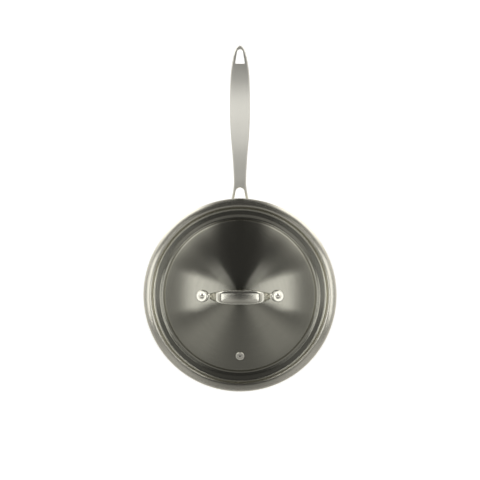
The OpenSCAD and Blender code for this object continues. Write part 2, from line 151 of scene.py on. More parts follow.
# Tables over s: the grip's width from the neck's to the full one, the tip's width squared over the
# distance from its end, the height of the middle as a share of the rise, and the thickness
GRIP_WIDTH = [(0.17, 0), (0.2, 0.02), (0.25, 0.1), (0.3, 0.24), (0.35, 0.4), (0.4, 0.59), (0.45, 0.77),
              (0.5, 0.89), (0.55, 0.97), (0.6, 0.99), (0.67, 1)]
TIP_WIDTH = [(0, 0), (0.01, 0.086), (0.023, 0.195), (0.038, 0.295), (0.063, 0.43), (0.09, 0.55),
             (0.14, 0.745), (0.19, 0.885), (0.25, 0.955), (0.33, 1)]
SPINE = [(0, 0), (0.06, 0.09), (0.12, 0.225), (0.19, 0.37), (0.36, 0.62), (0.54, 0.81), (0.62, 0.88),
         (0.7, 0.94), (0.78, 0.98), (0.88, 1), (1, 0.99)]
THICKNESS = [(0, 1.1), (0.16, 0.85), (0.35, 0.9), (0.6, 1), (0.85, 0.75), (0.97, 0.6), (1, 0.4)]
OUTLINE_STEPS = 400
OUTLINE_GAP = 0.9

# Distances from the outer and the inner edges at which the handle's mesh has a row of points
OUTER_ROWS = [0.15, 0.35, 0.7, 1.1, 1.45, BEVEL_W, 1.95, 2.5, 3.2, 4]
INNER_ROWS = [0.1, 0.25, 0.45, EDGE_R, 1.3]

# Lid handle
FOOT_OFFSET = 52
FOOT_D = 17
FOOT_H = 4.5
FOOT_EDGE_R = 1.5
FOOT_OFF_DOME = 0.05  # keeps the faces on the dome from lying in it
STRAP_TOP_H = 27
STRAP_W = 18.5
STRAP_NECK_W = 6.6
STRAP_T = 5
TOE_T = 3.4
STRAP_TOP_L = 42
CROWN_A = 5
BEND_R = 13
TOE_BEND_R = 7
TOE_RUN = 2.7
TOE_SINK = 0.5
RIVET_HEAD_D = 8.3
STRAP_WIDTH = [(0, 1), (0.32, 0.98), (0.46, 0.88), (0.61, 0.69), (0.76, 0.42), (0.86, 0.17), (0.93, 0.03),
               (1, 0)]
STRAP_ROUND = 0.72
STRAP_TAPER = 4
STRAP_SIDES = 64
CAST_VOXEL = 0.35
CAST_SMOOTHING = 5

# Points of a plan: none closer to a line than LINE_GAP, and one to a square of CELL
LINE_GAP = 0.08
CELL = 0.12
ROW_SHARE = 0.87  # rows of equal sided triangles
CLEAR_SHARE = 0.4
BATCH = 2000  # points measured at a time


# Shapes


def arc(centre, radius, start, end, step=3.0):
    """Points (x, y) of an arc about centre from angle start to angle end."""
    n = max(1, math.ceil(abs(end - start) / step))
    angles = [math.radians(start + (end - start) * i / n) for i in range(n + 1)]
    return [(centre[0] + radius * math.cos(a), centre[1] + radius * math.sin(a)) for a in angles]


def polar(radius, angle):
    """The point at this distance and direction from the origin."""
    return (radius * math.cos(math.radians(angle)), radius * math.sin(math.radians(angle)))


def total(*vectors):
    """The sum of vectors given as tuples."""
    return tuple(sum(v) for v in zip(*vectors))


def dense(points, gap):
    """The same line of points with none further apart than gap."""
    out = [points[0]]
    for p, q in zip(points, points[1:]):
        d = math.dist(p, q)
        if d < 1e-6:
            continue
        n = max(1, math.ceil(d / gap))
        out += [tuple(a + (b - a) * i / n for a, b in zip(p, q)) for i in range(1, n + 1)]
    return out


def dense_loop(loop, gap):
    """The same closed line of points with none further apart than gap."""
    return dense(loop + loop[:1], gap)[:-1]


def spline(table, s):
    """Smooth curve through a table of (place, value) pairs, as in the part's source."""
    i = 0
    while i < len(table) - 2 and s >= table[i + 1][0]:
        i += 1

    def slope(k):
        a, b = max(k - 1, 0), min(k + 1, len(table) - 1)
        return (table[b][1] - table[a][1]) / (table[b][0] - table[a][0])

    w = table[i + 1][0] - table[i][0]
    u = (s - table[i][0]) / w
    return ((2 * u ** 3 - 3 * u ** 2 + 1) * table[i][1] + (3 * u ** 2 - 2 * u ** 3) * table[i + 1][1]
            + w * ((u ** 3 - 2 * u ** 2 + u) * slope(i) + (u ** 3 - u ** 2) * slope(i + 1)))


def add_mesh(name, verts, faces, sharp_a=None):
    """A smooth-shaded object from points in millimetres; edges steeper than sharp_a stay sharp."""
    mesh = bpy.data.meshes.new(name)
    mesh.from_pydata([tuple(c * MM for c in v) for v in verts], [], faces)
    mesh.validate()
    mesh.shade_smooth()
    if sharp_a is not None:
        mesh.set_sharp_from_angle(angle=math.radians(sharp_a))
    obj = bpy.data.objects.new(name, mesh)
    bpy.context.scene.collection.objects.link(obj)
    return obj


def joined(*meshes):
    """One list of points and one of faces from several pairs of them."""
    verts, faces = [], []
    for more_verts, more_faces in meshes:
        n = len(verts)
        verts = verts + more_verts
        faces = faces + [[n + v for v in f] for f in more_faces]
    return verts, faces


def lathe(outline, sectors=288, gap=2.0):
    """Points and faces turned about Z from a line of (r, z) points.
    The line closes on itself unless it starts on the axis."""
    line = dense(outline, gap)
    closed = line[0][0] > 1e-6
    if closed and math.dist(line[0], line[-1]) < 1e-6:
        line = line[:-1]
    turns = [2 * math.pi * k / sectors for k in range(sectors)]
    verts, rings = [], []
    for r, z in line:
        if r < 1e-6:
            rings.append([len(verts)] * sectors)
            verts.append((0, 0, z))
        else:
            rings.append([len(verts) + k for k in range(sectors)])
            verts += [(r * math.cos(t), r * math.sin(t), z) for t in turns]
    following = rings[1:] + rings[:1] if closed else rings[1:]
    faces = []
    for a, b in zip(rings, following):
        for k in range(sectors):
            m = (k + 1) % sectors
            face = [a[k], b[k], b[m], a[m]]
            face = [v for j, v in enumerate(face) if v not in face[:j]]
            if len(face) > 2:
                faces.append(face)
    return verts, faces


def place_on_dome(verts, angle, turn):
    """Moves points from a place's own frame to the dome's upper face, angle from its top towards turn."""
    a, t = math.radians(angle), math.radians(turn)
    out = []
    for x, y, z in verts:
        z += DOME_R
        x, z = x * math.cos(a) + z * math.sin(a), -x * math.sin(a) + z * math.cos(a)
        out.append((x * math.cos(t) - y * math.sin(t), x * math.sin(t) + y * math.cos(t), z + DOME_Z))
    return out


def round_over(distance, radius):
    """How far a surface lies below its face near an edge that is rounded with radius."""
    rest = radius - np.clip(distance, 0, radius)
    return radius - np.sqrt(np.maximum(radius ** 2 - rest ** 2, 0))


# Solids over a plan: an upper and a lower surface over flat loops


def distance_to(points, line):
    """Distance of each point to a line of points, in the plane."""
    p = np.asarray(points, float)
    a, b = np.asarray(line[:-1], float), np.asarray(line[1:], float)
    d = b - a
    out = np.full(len(p), 1e9)
    for start in range(0, len(p), BATCH):
        q = p[start:start + BATCH, None, :]
        u = np.clip(((q - a) * d).sum(-1) / np.maximum((d * d).sum(-1), 1e-12), 0, 1)
        out[start:start + BATCH] = np.sqrt(((q - a - u[..., None] * d) ** 2).sum(-1)).min(1)
    return out


def distances(points, lines):
    """Distance of each point to each of the lines, one row for a line."""
    return np.stack([distance_to(points, line) for line in lines])


def inside(points, loops):
    """Whether each point is inside the loops, counted even-odd."""
    p = np.asarray(points, float)
    hit = np.zeros(len(p), bool)
    for loop in loops:
        x, y = np.asarray(loop, float).T
        x2, y2 = np.roll(x, -1), np.roll(y, -1)
        for i in range(len(x)):
            if y[i] == y2[i]:
                continue
            cross = (y[i] > p[:, 1]) != (y2[i] > p[:, 1])
            hit ^= cross & (p[:, 0] < (x2[i] - x[i]) * (p[:, 1] - y[i]) / (y2[i] - y[i]) + x[i])
    return hit


def rows_beside(line, offsets):
    """Points on both sides of a line, one row for each side of each offset."""
    a = np.asarray(line, float)
    t = np.gradient(a, axis=0)
    t /= np.maximum(np.linalg.norm(t, axis=1), 1e-9)[:, None]
    normal = np.stack([-t[:, 1], t[:, 0]], 1)
    return [a + side * d * normal for d in offsets for side in (1, -1)]


def free_points(loops, edges, offsets, gap):
    """Plan points between the loops: rows along the edge lines, and staggered rows gap apart elsewhere."""
    beside = np.concatenate([row for line, off in zip(edges, offsets) for row in rows_beside(line, off)])
    own = np.concatenate([np.full(2 * len(line), d) for line, off in zip(edges, offsets) for d in off])
    nearest = distances(beside, edges).min(0)
    # A point of a row that lies closer to some line than its own offset is left out
    beside = beside[(nearest > LINE_GAP) & (nearest > own * 0.97 - 0.02)]
    corners = [p for loop in loops for p in loop]
    low, high = np.min(corners, 0), np.max(corners, 0)
    grid = np.array([(x + (gap / 2 if j % 2 else 0), y)
                     for j, y in enumerate(np.arange(low[1], high[1], gap * ROW_SHARE))
                     for x in np.arange(low[0], high[0], gap)])
    deepest = np.array([max(off) for off in offsets])[:, None]
    grid = grid[(distances(grid, edges) > deepest + gap * CLEAR_SHARE).all(0)]
    free = np.concatenate([beside, grid])
    free = free[inside(free, loops)]
    free = free[distance_to(free, loops[0] + loops[0][:1]) > LINE_GAP]
    cell = np.round(free / CELL).astype(int)
    return free[np.unique(cell, axis=0, return_index=True)[1]]


def close_solid(plan, triangles, upper, lower):
    """Joins the triangles at their upper and lower heights by walls along the open sides."""
    n = len(plan)
    verts = [(x, y, z) for heights in (upper, lower) for (x, y), z in zip(plan.tolist(), heights)]
    faces = []
    sides = {}
    for f in triangles:
        (ax, ay), (bx, by), (cx, cy) = plan[f]
        if (bx - ax) * (cy - ay) - (by - ay) * (cx - ax) < 0:
            f = f[::-1]
        faces.append(f)
        faces.append([n + v for v in f[::-1]])
        for i in range(3):
            sides[(f[i], f[(i + 1) % 3])] = True
    for a, b in sides:
        if (b, a) not in sides:
            faces.append([a, n + a, n + b, b])
    return verts, faces


def plan_solid(loops, edges, offsets, gap, height):
    """Points and faces of a solid over a plan.
    loops are closed lines of plan points; edges are the open lines whose distance shapes the surface.
    height takes the plan points and their distances to each edge line, and gives the upper and lower
    heights."""
    points, ties = [], []
    for loop in loops:
        n = len(points)
        points += loop
        ties += [(n + i, n + (i + 1) % len(loop)) for i in range(len(loop))]
    points += free_points(loops, edges, offsets, gap).tolist()
    result = geometry.delaunay_2d_cdt([Vector(p) for p in points], ties, [], 0, 1e-5)
    plan = np.array([tuple(v) for v in result[0]], float)
    centres = np.array([plan[list(f)].mean(0) for f in result[2]])
    triangles = [list(f) for f, keep in zip(result[2], inside(centres, loops)) if keep]
    upper, lower = height(plan, distances(plan, edges))
    return close_solid(plan, triangles, upper, lower)


# Vessel and lid


def vessel_line():
    """The vessel's section, from the middle of its floor up the inside and back down the outside."""
    roll_c = (RIM_TOP_R, RIM_Z - ROLL_R)
    slope_c = (RIM_TOP_R, RIM_Z - SLOPE_R)
    edge_r = VESSEL_T / 2
    edge_c = total(slope_c, polar(SLOPE_R - edge_r, RIM_END_A))
    join_a = 90 + ROLL_A
    return ([(0, FLOOR_Z)]
            + arc(CORNER_C, CORNER_R, -90, 0)
            + arc(FLARE_C, FLARE_R, 180, join_a)
            + arc(roll_c, ROLL_R, join_a, 90, 6)
            + arc(slope_c, SLOPE_R, 90, RIM_END_A)
            + arc(edge_c, edge_r, RIM_END_A, RIM_END_A - 180, 15)
            + arc(slope_c, SLOPE_R - VESSEL_T, RIM_END_A, 90)
            + arc(roll_c, ROLL_R - VESSEL_T, 90, join_a, 6)
            + arc(FLARE_C, FLARE_R - VESSEL_T, join_a, 180)
            + arc(CORNER_C, CORNER_R + VESSEL_T, 0, -90)
            + [(0, BASE_TOP_Z)])


# The lid's bends are worked out with the dome's centre at the origin; DOME_Z lifts it to its height.
SHOULDER_C = polar(DOME_R - SHOULDER_R, 90 - DOME_EDGE_A)
VALLEY_C = total(SHOULDER_C, polar(SHOULDER_R + VALLEY_R, 90 - STEP_A))
FLANGE_IN = total(VALLEY_C, polar(VALLEY_R, 270 + FLANGE_A))
FLANGE_RISE = (BEAD_X - FLANGE_IN[0]) * math.tan(math.radians(FLANGE_A))
DOME_Z = BEAD_Z + LID_T / 2 - FLANGE_IN[1] - FLANGE_RISE
DOME_TOP_Z = DOME_Z + DOME_R


def lid_line():
    """The lid's section, from its top out over the upper face and back under the lower one."""
    slope = math.tan(math.radians(FLANGE_A))
    drop = polar(SHOULDER_R + GROOVE_R, 90 - STEP_A)
    rise = polar(GROOVE_R + LIP_R, 270 + LIP_A)
    lip_end = total(SHOULDER_C, drop, rise, polar(LIP_R, 90 + FLANGE_A))
    # Without a straight run after the shoulder, the flange would lie too high by this
    over = lip_end[1] + (BEAD_X - lip_end[0]) * slope - FLANGE_IN[1] - FLANGE_RISE
    step_a = math.radians(STEP_A)
    run = polar(over / (math.sin(step_a) + math.cos(step_a) * slope), -STEP_A)
    groove_c = total(SHOULDER_C, drop, run)
    lip_c = total(groove_c, rise)
    upper = (arc((0, 0), DOME_R, 90, 90 - DOME_EDGE_A, 0.5)
             + arc(SHOULDER_C, SHOULDER_R, 90 - DOME_EDGE_A, 90 - STEP_A)
             + arc(groove_c, GROOVE_R, 270 - STEP_A, 270 + LIP_A)
             + arc(lip_c, LIP_R, 90 + LIP_A, 90 + FLANGE_A))
    bead = arc((BEAD_X, BEAD_Z - DOME_Z), BEAD_R, BEAD_JOIN_A, -BEAD_JOIN_A, 12)
    lower = (arc(lip_c, LIP_R - LID_T, 90 + FLANGE_A, 90 + LIP_A)
             + arc(groove_c, GROOVE_R + LID_T, 270 + LIP_A, 270 - STEP_A)
             + arc(SHOULDER_C, SHOULDER_R - LID_T, 90 - STEP_A, 90 - DOME_EDGE_A)
             + arc((0, 0), DOME_R - LID_T, 90 - DOME_EDGE_A, 90, 0.5))
    return [(abs(r) if abs(r) < 1e-9 else r, z + DOME_Z) for r, z in upper + bead + lower]


def in_vent_hole(verts):
    """Whether each point lies where the vent's barrel goes through the lid."""
    a = math.asin(VENT_R / DOME_R)
    foot = np.array([0, -VENT_R, DOME_Z + DOME_R * math.cos(a)])
    axis = np.array([0, -math.sin(a), math.cos(a)])
    d = np.asarray(verts, float) - foot
    along = d @ axis
    off_axis = np.sqrt(np.maximum((d * d).sum(1) - along ** 2, 0))
    return (off_axis < BARREL_D / 2 + LID_HOLE_MARGIN) & (np.abs(along) < LID_HOLE_REACH)


verts, faces = lathe(vessel_line())
vessel = add_mesh("vessel", verts, faces)
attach(vessel, "pan")
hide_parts("pan_shell")

verts, faces = lathe(lid_line(), sectors=360, gap=1.5)
cut = in_vent_hole(verts)
faces = [f for f in faces if not all(cut[v] for v in f)]
lid = add_mesh("lid_dome", verts, faces)
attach(lid, "lid")
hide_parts("lid_shell")


# Long handle


def half_width(s):
    """Half the handle's width at s: tip, grip, or the fork that widens to the wall."""
    if s > GRIP_S:
        return HANDLE_W / 2 * math.sqrt(max(0, spline(TIP_WIDTH, 1 - s)))
    if s > NECK_S:
        return (NECK_W + (HANDLE_W - NECK_W) * spline(GRIP_WIDTH, s)) / 2
    return (NECK_W + (FORK_W - NECK_W) * (1 - s / NECK_S) ** FORK_POWER) / 2


def handle_outline():
    """The handle's outer edge, from its root up the right side, round the tip and down the left side."""
    root_s = (ROOT_Y - WALL_R) / HANDLE_L
    points = []
    for i in range(OUTLINE_STEPS + 1):
        s = root_s + (1 - root_s) * (1 - (1 - i / OUTLINE_STEPS) ** 2)
        points.append((half_width(s) if i < OUTLINE_STEPS else 0, WALL_R + s * HANDLE_L))
    right = [points[0]]
    for p in points[1:]:
        if math.dist(p, right[-1]) > OUTLINE_GAP or p is points[-1]:
            right.append(p)
    return right + [(-x, y) for x, y in right[::-1]][1:]


def hole_line():
    """The hanging hole, with its two lower corners a little rounded."""
    tip_y = WALL_R + HANDLE_L - BAND_W - HOLE_TIP_R
    length = HOLE_L - HOLE_TIP_R
    corner_x = HOLE_W / 2
    to_corner_a = math.atan2(length, corner_x)
    side_a = math.degrees(math.acos(HOLE_TIP_R / math.hypot(corner_x, length)) - to_corner_a)
    tip = arc((0, tip_y), HOLE_TIP_R, side_a, 180 - side_a, 9)
    round_x = corner_x - HOLE_CORNER_R * 1.1  # the sides lean inward, so this is more than the radius
    round_y = tip_y - length + HOLE_CORNER_R
    left = arc((-round_x, round_y), HOLE_CORNER_R, 180 - side_a, 270, 18)
    right = arc((round_x, round_y), HOLE_CORNER_R, 270, 360 + side_a, 18)
    return dense_loop(tip + left + right, 0.8)


def fork_line():
    """The inner edge of the fork, from the left leg's root round the arch to the right leg's."""
    r = ARCH_W / 2
    foot_x = FORK_W / 2 - FORK_LEG_W
    base_y = WALL_R - 1
    share = (ROOT_Y - base_y) / (ARCH_Y - r - base_y)
    root_x = foot_x + (r - foot_x) * share
    return dense([(-root_x, ROOT_Y)] + arc((0, ARCH_Y - r), r, 180, 0, 8) + [(root_x, ROOT_Y)], 0.8)


def bevel_drop(distance, width):
    """How far the bevel lies below the upper face: it starts flat and steepens towards the edge."""
    share = np.clip(1 - distance / width, 0, 1)
    steep = (1 - BEVEL_KNEE_DROP) / (1 - BEVEL_KNEE)
    return width * np.where(share < BEVEL_KNEE, share * BEVEL_KNEE_DROP / BEVEL_KNEE,
                            BEVEL_KNEE_DROP + (share - BEVEL_KNEE) * steep)


def handle_heights(plan, dist):
    """Upper and lower heights of the handle, with its outer edge bevelled and its inner ones rounded."""
    outer, inner = dist[0], np.minimum(dist[1], dist[2])
    s = (plan[:, 1] - WALL_R) / HANDLE_L
    middle = np.array([HANDLE_ROOT_Z + HANDLE_RISE * spline(SPINE, v) for v in s])
    t = np.array([HANDLE_T * spline(THICKNESS, v) for v in s])
    w = np.array([half_width(min(v, 1)) for v in s])
    bevel_w = np.minimum(BEVEL_W, t / 3)
    drop = (bevel_drop(outer - BEVEL_SOFT, bevel_w) + 2 * bevel_drop(outer, bevel_w)
            + bevel_drop(outer + BEVEL_SOFT, bevel_w)) / 4
    drop = np.where(outer < 0.01, bevel_w, drop)
    crown = HANDLE_CROWN * w / (HANDLE_W / 2)
    drop += crown * (1 - np.clip((outer - bevel_w) / (np.maximum(w, CROWN_MIN_W) - bevel_w), 0, 1)) ** 2
    lip = round_over(inner, EDGE_R)
    reach = np.minimum(np.maximum(w, BELLY_MIN_W) * BELLY_SHARE, t / 2)
    belly = t / 2 + t / 2 * np.sqrt(np.maximum(1 - (1 - np.clip(outer / reach, 0, 1)) ** 2, 0))
    return middle + t / 2 - drop - lip, middle + t / 2 - belly + lip


def plate_line():
    """The mounting plate's outline: a bar with round ends and a lobe below."""
    r = PLATE_H / 2
    end_x = PLATE_W / 2 - r
    dip = math.degrees(math.asin((r - PLATE_DROP) / r))
    lobe = arc((0, -PLATE_DROP), r, 180 + dip, 360 - dip, 9)
    return dense_loop(arc((end_x, 0), r, -90, 90, 9) + arc((-end_x, 0), r, 90, 270, 9) + lobe, 1.0)


def plate_heights(plan, dist):
    """The plate's outer and inner radius about the pan's axis."""
    return (WALL_R + PLATE_T - round_over(dist[0], PLATE_BEVEL),
            np.full(len(plan), WALL_R + PLATE_OFF_WALL))


def plate_mesh():
    """The mounting plate, bent to the wall's radius."""
    plate = plate_line()
    verts, faces = plan_solid([plate], [plate + plate[:1]], [PLATE_ROWS], 2.0, plate_heights)
    bent = [(x, math.sqrt(r * r - x * x), z + HANDLE_ROOT_Z) for x, z, r in verts]
    return bent, [f[::-1] for f in faces]


outline = handle_outline()
fork = fork_line()
hole = hole_line()
cast = plan_solid([outline + fork, hole], [outline, fork, hole + hole[:1]],
                  [OUTER_ROWS, INNER_ROWS, INNER_ROWS], 1.8, handle_heights)
verts, faces = joined(cast, plate_mesh())
long_handle = add_mesh("long_handle_cast", verts, faces, 30)
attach(long_handle, "pan")
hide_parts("long_handle")


# Lid handle


def unit(angle):
    """Unit vector (x, z) at an angle from straight up."""
    return (math.sin(math.radians(angle)), math.cos(math.radians(angle)))


def bend(centre, radius, start, end, steps):
    """Points (x, z, slope) of a bend; a negative radius has its centre above the line."""
    out = []
    for i in range(steps + 1):
        slope = start + (end - start) * i / steps
        u = unit(slope)
        out.append((centre[0] + radius * u[0], centre[1] + radius * u[1], slope))
    return out


def strap_mid_line(foot_a):
    """Half the strap's middle line, from its top to the foot, as (x, z, slope)."""
    top_z = DOME_TOP_Z + STRAP_TOP_H - STRAP_T / 2
    crown_r = STRAP_TOP_L / 2 / math.sin(math.radians(CROWN_A))
    crown_c = (0, top_z - crown_r)
    crown_end = unit(CROWN_A)
    bend_c = tuple(c + (crown_r - BEND_R) * u for c, u in zip(crown_c, crown_end))
    axis = unit(foot_a)
    along = (axis[1], -axis[0])
    reach = (FOOT_D + RIVET_HEAD_D) / 4
    height = FOOT_H - TOE_SINK - TOE_T / 2
    toe = tuple(c + (DOME_R + height) * n - reach * t for c, n, t in zip((0, DOME_Z), axis, along))
    toe_c = tuple(p - TOE_RUN * t + TOE_BEND_R * n for p, t, n in zip(toe, along, axis))
    dx, dz = toe_c[0] - bend_c[0], toe_c[1] - bend_c[1]
    lean_a = math.degrees(math.acos((BEND_R + TOE_BEND_R) / math.hypot(dx, dz)))
    leg_a = 90 - math.degrees(math.atan2(dz, dx)) - lean_a
    line = bend(crown_c, crown_r, 0, CROWN_A, 12)[:-1] + bend(bend_c, BEND_R, CROWN_A, leg_a, 22)
    toe_bend = bend(toe_c, -TOE_BEND_R, leg_a, foot_a, 12)
    leg = [tuple(a + (b - a) * i / 4 for a, b in zip(line[-1], toe_bend[0])) for i in range(1, 4)]
    return line + leg + toe_bend + [(toe[0], toe[1], foot_a)]


def strap_mesh(foot_a):
    """The strap, from foot to foot: a rounded bar that narrows and thins towards its ends."""
    half = strap_mid_line(foot_a)
    toe_x = half[-1][0]
    turns = [2 * math.pi * i / STRAP_SIDES for i in range(STRAP_SIDES)]
    rings = [(-x, z, -slope) for x, z, slope in half[:0:-1]] + half
    verts, faces = [], []
    for x, z, slope in rings:
        reach = min(1, abs(x) / toe_x)
        w = (STRAP_NECK_W + (STRAP_W - STRAP_NECK_W) * spline(STRAP_WIDTH, reach)) / 2
        t = (TOE_T + (STRAP_T - TOE_T) * (1 - reach ** STRAP_TAPER)) / 2
        up = unit(slope)
        for turn in turns:
            c, s = math.cos(turn), math.sin(turn)
            y = w * math.copysign(abs(c) ** STRAP_ROUND, c)
            h = t * math.copysign(abs(s) ** STRAP_ROUND, s)
            verts.append((x + h * up[0], y, z + h * up[1]))
    last = (len(rings) - 1) * STRAP_SIDES
    for i in range(0, last, STRAP_SIDES):
        for j in range(STRAP_SIDES):
            a, b = i + j, i + (j + 1) % STRAP_SIDES
            faces.append([a, a + STRAP_SIDES, b + STRAP_SIDES, b])
    faces.append(list(range(STRAP_SIDES)))
    faces.append([last + j for j in range(STRAP_SIDES - 1, -1, -1)])
    return verts, faces


def foot_mesh(foot_a, turn):
    """One round foot on the dome."""
    section = ([(0, FOOT_OFF_DOME), (FOOT_D / 2, FOOT_OFF_DOME)]
               + arc((FOOT_D / 2 - FOOT_EDGE_R, FOOT_H - FOOT_EDGE_R), FOOT_EDGE_R, 0, 90, 9)
               + [(0, FOOT_H)])
    verts, faces = lathe(section, sectors=96, gap=0.8)
    return place_on_dome(verts, foot_a, turn), faces


def cast_as_one(obj):
    """Melts overlapping shapes into one smooth casting and keeps the result as the mesh."""
    remesh = obj.modifiers.new("cast", "REMESH")
    remesh.mode = "VOXEL"
    remesh.voxel_size = CAST_VOXEL * MM
    soften = obj.modifiers.new("soften", "SMOOTH")
    soften.factor = 0.5
    soften.iterations = CAST_SMOOTHING
    bpy.context.view_layer.update()
    graph = bpy.context.evaluated_depsgraph_get()
    mesh = bpy.data.meshes.new_from_object(obj.evaluated_get(graph))
    obj.modifiers.clear()
    obj.data = mesh
    mesh.shade_smooth()


foot_a = math.degrees(math.asin(FOOT_OFFSET / DOME_R))
verts, faces = joined(strap_mesh(foot_a), foot_mesh(foot_a, 0), foot_mesh(foot_a, 180))
lid_handle = add_mesh("lid_handle_cast", verts, faces)
cast_as_one(lid_handle)
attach(lid_handle, "lid")
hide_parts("lid_handle")


# Vent eyelet


def star_radius(angle):
    """Radius of the four pointed hole in this direction: arcs that bulge inward between the points."""
    point, waist = STAR_D / 2, STAR_WAIST / 2
    c = (point * point - waist * waist) / (math.sqrt(2) * point - 2 * waist)
    r = c - waist
    k = c * math.cos(math.radians((angle % 90) - 45))
    return k - math.sqrt(max(0, k * k - (c * c - r * r)))


def eyelet_column(angle, steps=18):
    """The eyelet's section (r, z) in one direction, from the ring's foot over its roll into the barrel."""
    out_r, in_r = EYELET_D / 2, star_radius(angle)
    full = 1 - math.cos(math.radians(EYELET_SWEEP_A))
    column = [(out_r, FOOT_OFF_DOME)]
    for i in range(steps + 1):
        t = math.radians(EYELET_SWEEP_A * i / steps)
        share = (1 - math.cos(t)) / full
        column.append((out_r + (in_r - out_r) * share, EYELET_H / 2 * (1 + math.sin(t))))
    return column + [(in_r, STAR_FOOT), (BARREL_IN_R, STAR_FOOT), (BARREL_IN_R, -BARREL_DEPTH),
                     (BARREL_D / 2, -BARREL_DEPTH), (BARREL_D / 2, FOOT_OFF_DOME)]


def eyelet_mesh(sectors=288):
    """The eyelet's sections joined all round."""
    verts, faces = [], []
    for k in range(sectors):
        column = eyelet_column(360 * k / sectors)
        ca, sa = polar(1, 360 * k / sectors)
        verts += [(r * ca, r * sa, z) for r, z in column]
    m = len(verts) // sectors
    for k in range(sectors):
        q = (k + 1) % sectors
        for i in range(m):
            j = (i + 1) % m
            faces.append([k * m + i, k * m + j, q * m + j, q * m + i])
    return verts, faces


verts, faces = eyelet_mesh()
vent_a = math.degrees(math.asin(VENT_R / DOME_R))
eyelet = add_mesh("vent_ring", place_on_dome(verts, vent_a, -90), faces, 40)
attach(eyelet, "lid")
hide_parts("vent_eyelet")


# Materials

# Colours are what the metal reflects straight on, except where painted light or shade is noted; relief
# depths are in millimetres
STEEL = (0.7, 0.68, 0.593)
# The lid's steel is painted about half as bright as the vessel's same steel: painted shade.
SHADED_LID_STEEL = (0.37, 0.363, 0.311)
STRAP_STEEL = (0.74, 0.725, 0.635)
BASE_STEEL = (0.72, 0.70, 0.65)
# The handle's steel is painted lighter than the vessel's same steel: painted light.
SATIN_PAINTED_LIGHT = (0.92, 0.905, 0.83)
POLISHED = (0.88, 0.86, 0.77)
DISC = (0.72, 0.72, 0.73)
BRUSHED_RELIEF = 0.06
GRAIN_RELIEF = 0.1
AXIS_CLEAR = 0.5  # rings have no direction closer to the axis than this
HIGHLIGHT_SOFT = 0.6  # width over which the painted highlight sets in
# how much brighter the rolled edge's colour is painted: a painted highlight
HIGHLIGHT_GAIN = 1.1


class Tree:
    """Small helper that adds nodes to the node tree of a material or a world."""

    def __init__(self, owner, output):
        owner.use_nodes = True
        self.owner = owner
        self.nodes = owner.node_tree.nodes
        self.links = owner.node_tree.links
        self.nodes.clear()
        self.out = self.nodes.new(output)

    def add(self, kind, inputs=None, **props):
        """A new node; inputs are values or the sockets that they come from."""
        node = self.nodes.new(kind)
        for key, value in props.items():
            setattr(node, key, value)
        for key, value in (inputs or {}).items():
            socket = node.inputs[key]
            if isinstance(value, bpy.types.NodeSocket):
                self.links.new(value, socket)
            else:
                socket.default_value = value
        return node

    def place(self, output="Object"):
        return self.add("ShaderNodeTexCoord").outputs[output]

    def split(self, vector):
        return self.add("ShaderNodeSeparateXYZ", {0: vector}).outputs[:]

    def combine(self, x, y, z):
        return self.add("ShaderNodeCombineXYZ", {0: x, 1: y, 2: z}).outputs[0]

    def math(self, op, a, b=0.0, c=0.0):
        return self.add("ShaderNodeMath", {0: a, 1: b, 2: c}, operation=op).outputs[0]

    def vector(self, op, a, b=(0, 0, 0)):
        return self.add("ShaderNodeVectorMath", {0: a, 1: b}, operation=op).outputs[0]

    def off_axis(self, x, y):
        """Distance from the Z axis."""
        return self.math("SQRT", self.math("ADD", self.math("MULTIPLY", x, x), self.math("MULTIPLY", y, y)))

    def blend(self, a, b, share):
        """A share of a, and the rest of b."""
        return self.math("ADD", self.math("MULTIPLY", a, share), self.math("MULTIPLY", b, 1 - share))

    def noise(self, vector, scale, detail, roughness=0.5):
        return self.add("ShaderNodeTexNoise", {"Vector": vector, "Scale": scale, "Detail": detail,
                                               "Roughness": roughness}).outputs["Fac"]

    def ramp(self, factor, stops):
        """Colours between the stops, which are (place, colour) pairs."""
        node = self.add("ShaderNodeValToRGB", {"Fac": factor})
        element = node.color_ramp.elements
        while len(element) < len(stops):
            element.new(0.5)
        for e, (place, colour) in zip(element, stops):
            e.position = place
            e.color = (*colour, 1)
        return node.outputs["Color"]

    def grey_ramp(self, factor, stops):
        """Greys between the stops, which are (place, level) pairs."""
        return self.ramp(factor, [(place, (level, level, level)) for place, level in stops])

    def grade(self, value, start, end):
        """0 at start, 1 at end, and smooth between them."""
        return self.add("ShaderNodeMapRange", {"Value": value, "From Min": start, "From Max": end},
                        interpolation_type="SMOOTHSTEP").outputs["Result"]

    def span(self, value, low, high):
        """Takes 0 to 1 to the range from low to high."""
        return self.add("ShaderNodeMapRange", {"Value": value, "To Min": low,
                                               "To Max": high}).outputs["Result"]

    def bump(self, height, strength, depth):
        """A normal from a height; depth is in millimetres."""
        return self.add("ShaderNodeBump", {"Strength": strength, "Distance": depth * MM,
                                           "Height": height}).outputs[0]

    def metal(self, colour, roughness, normal, brushed=None):
        """A metal surface; brushed gives anisotropy and the tangent that goes with it."""
        inputs = {"Base Color": colour, "Metallic": 1.0, "Roughness": roughness, "Normal": normal}
        return self.finish(self.add("ShaderNodeBsdfPrincipled", inputs | (brushed or {})))

    def finish(self, shader):
        """Ends the tree in the shader and gives back the material or world."""
        self.links.new(shader.outputs[0], self.out.inputs["Surface"])
        return self.owner


def material_tree(name):
    return Tree(bpy.data.materials.new(name), "ShaderNodeOutputMaterial")


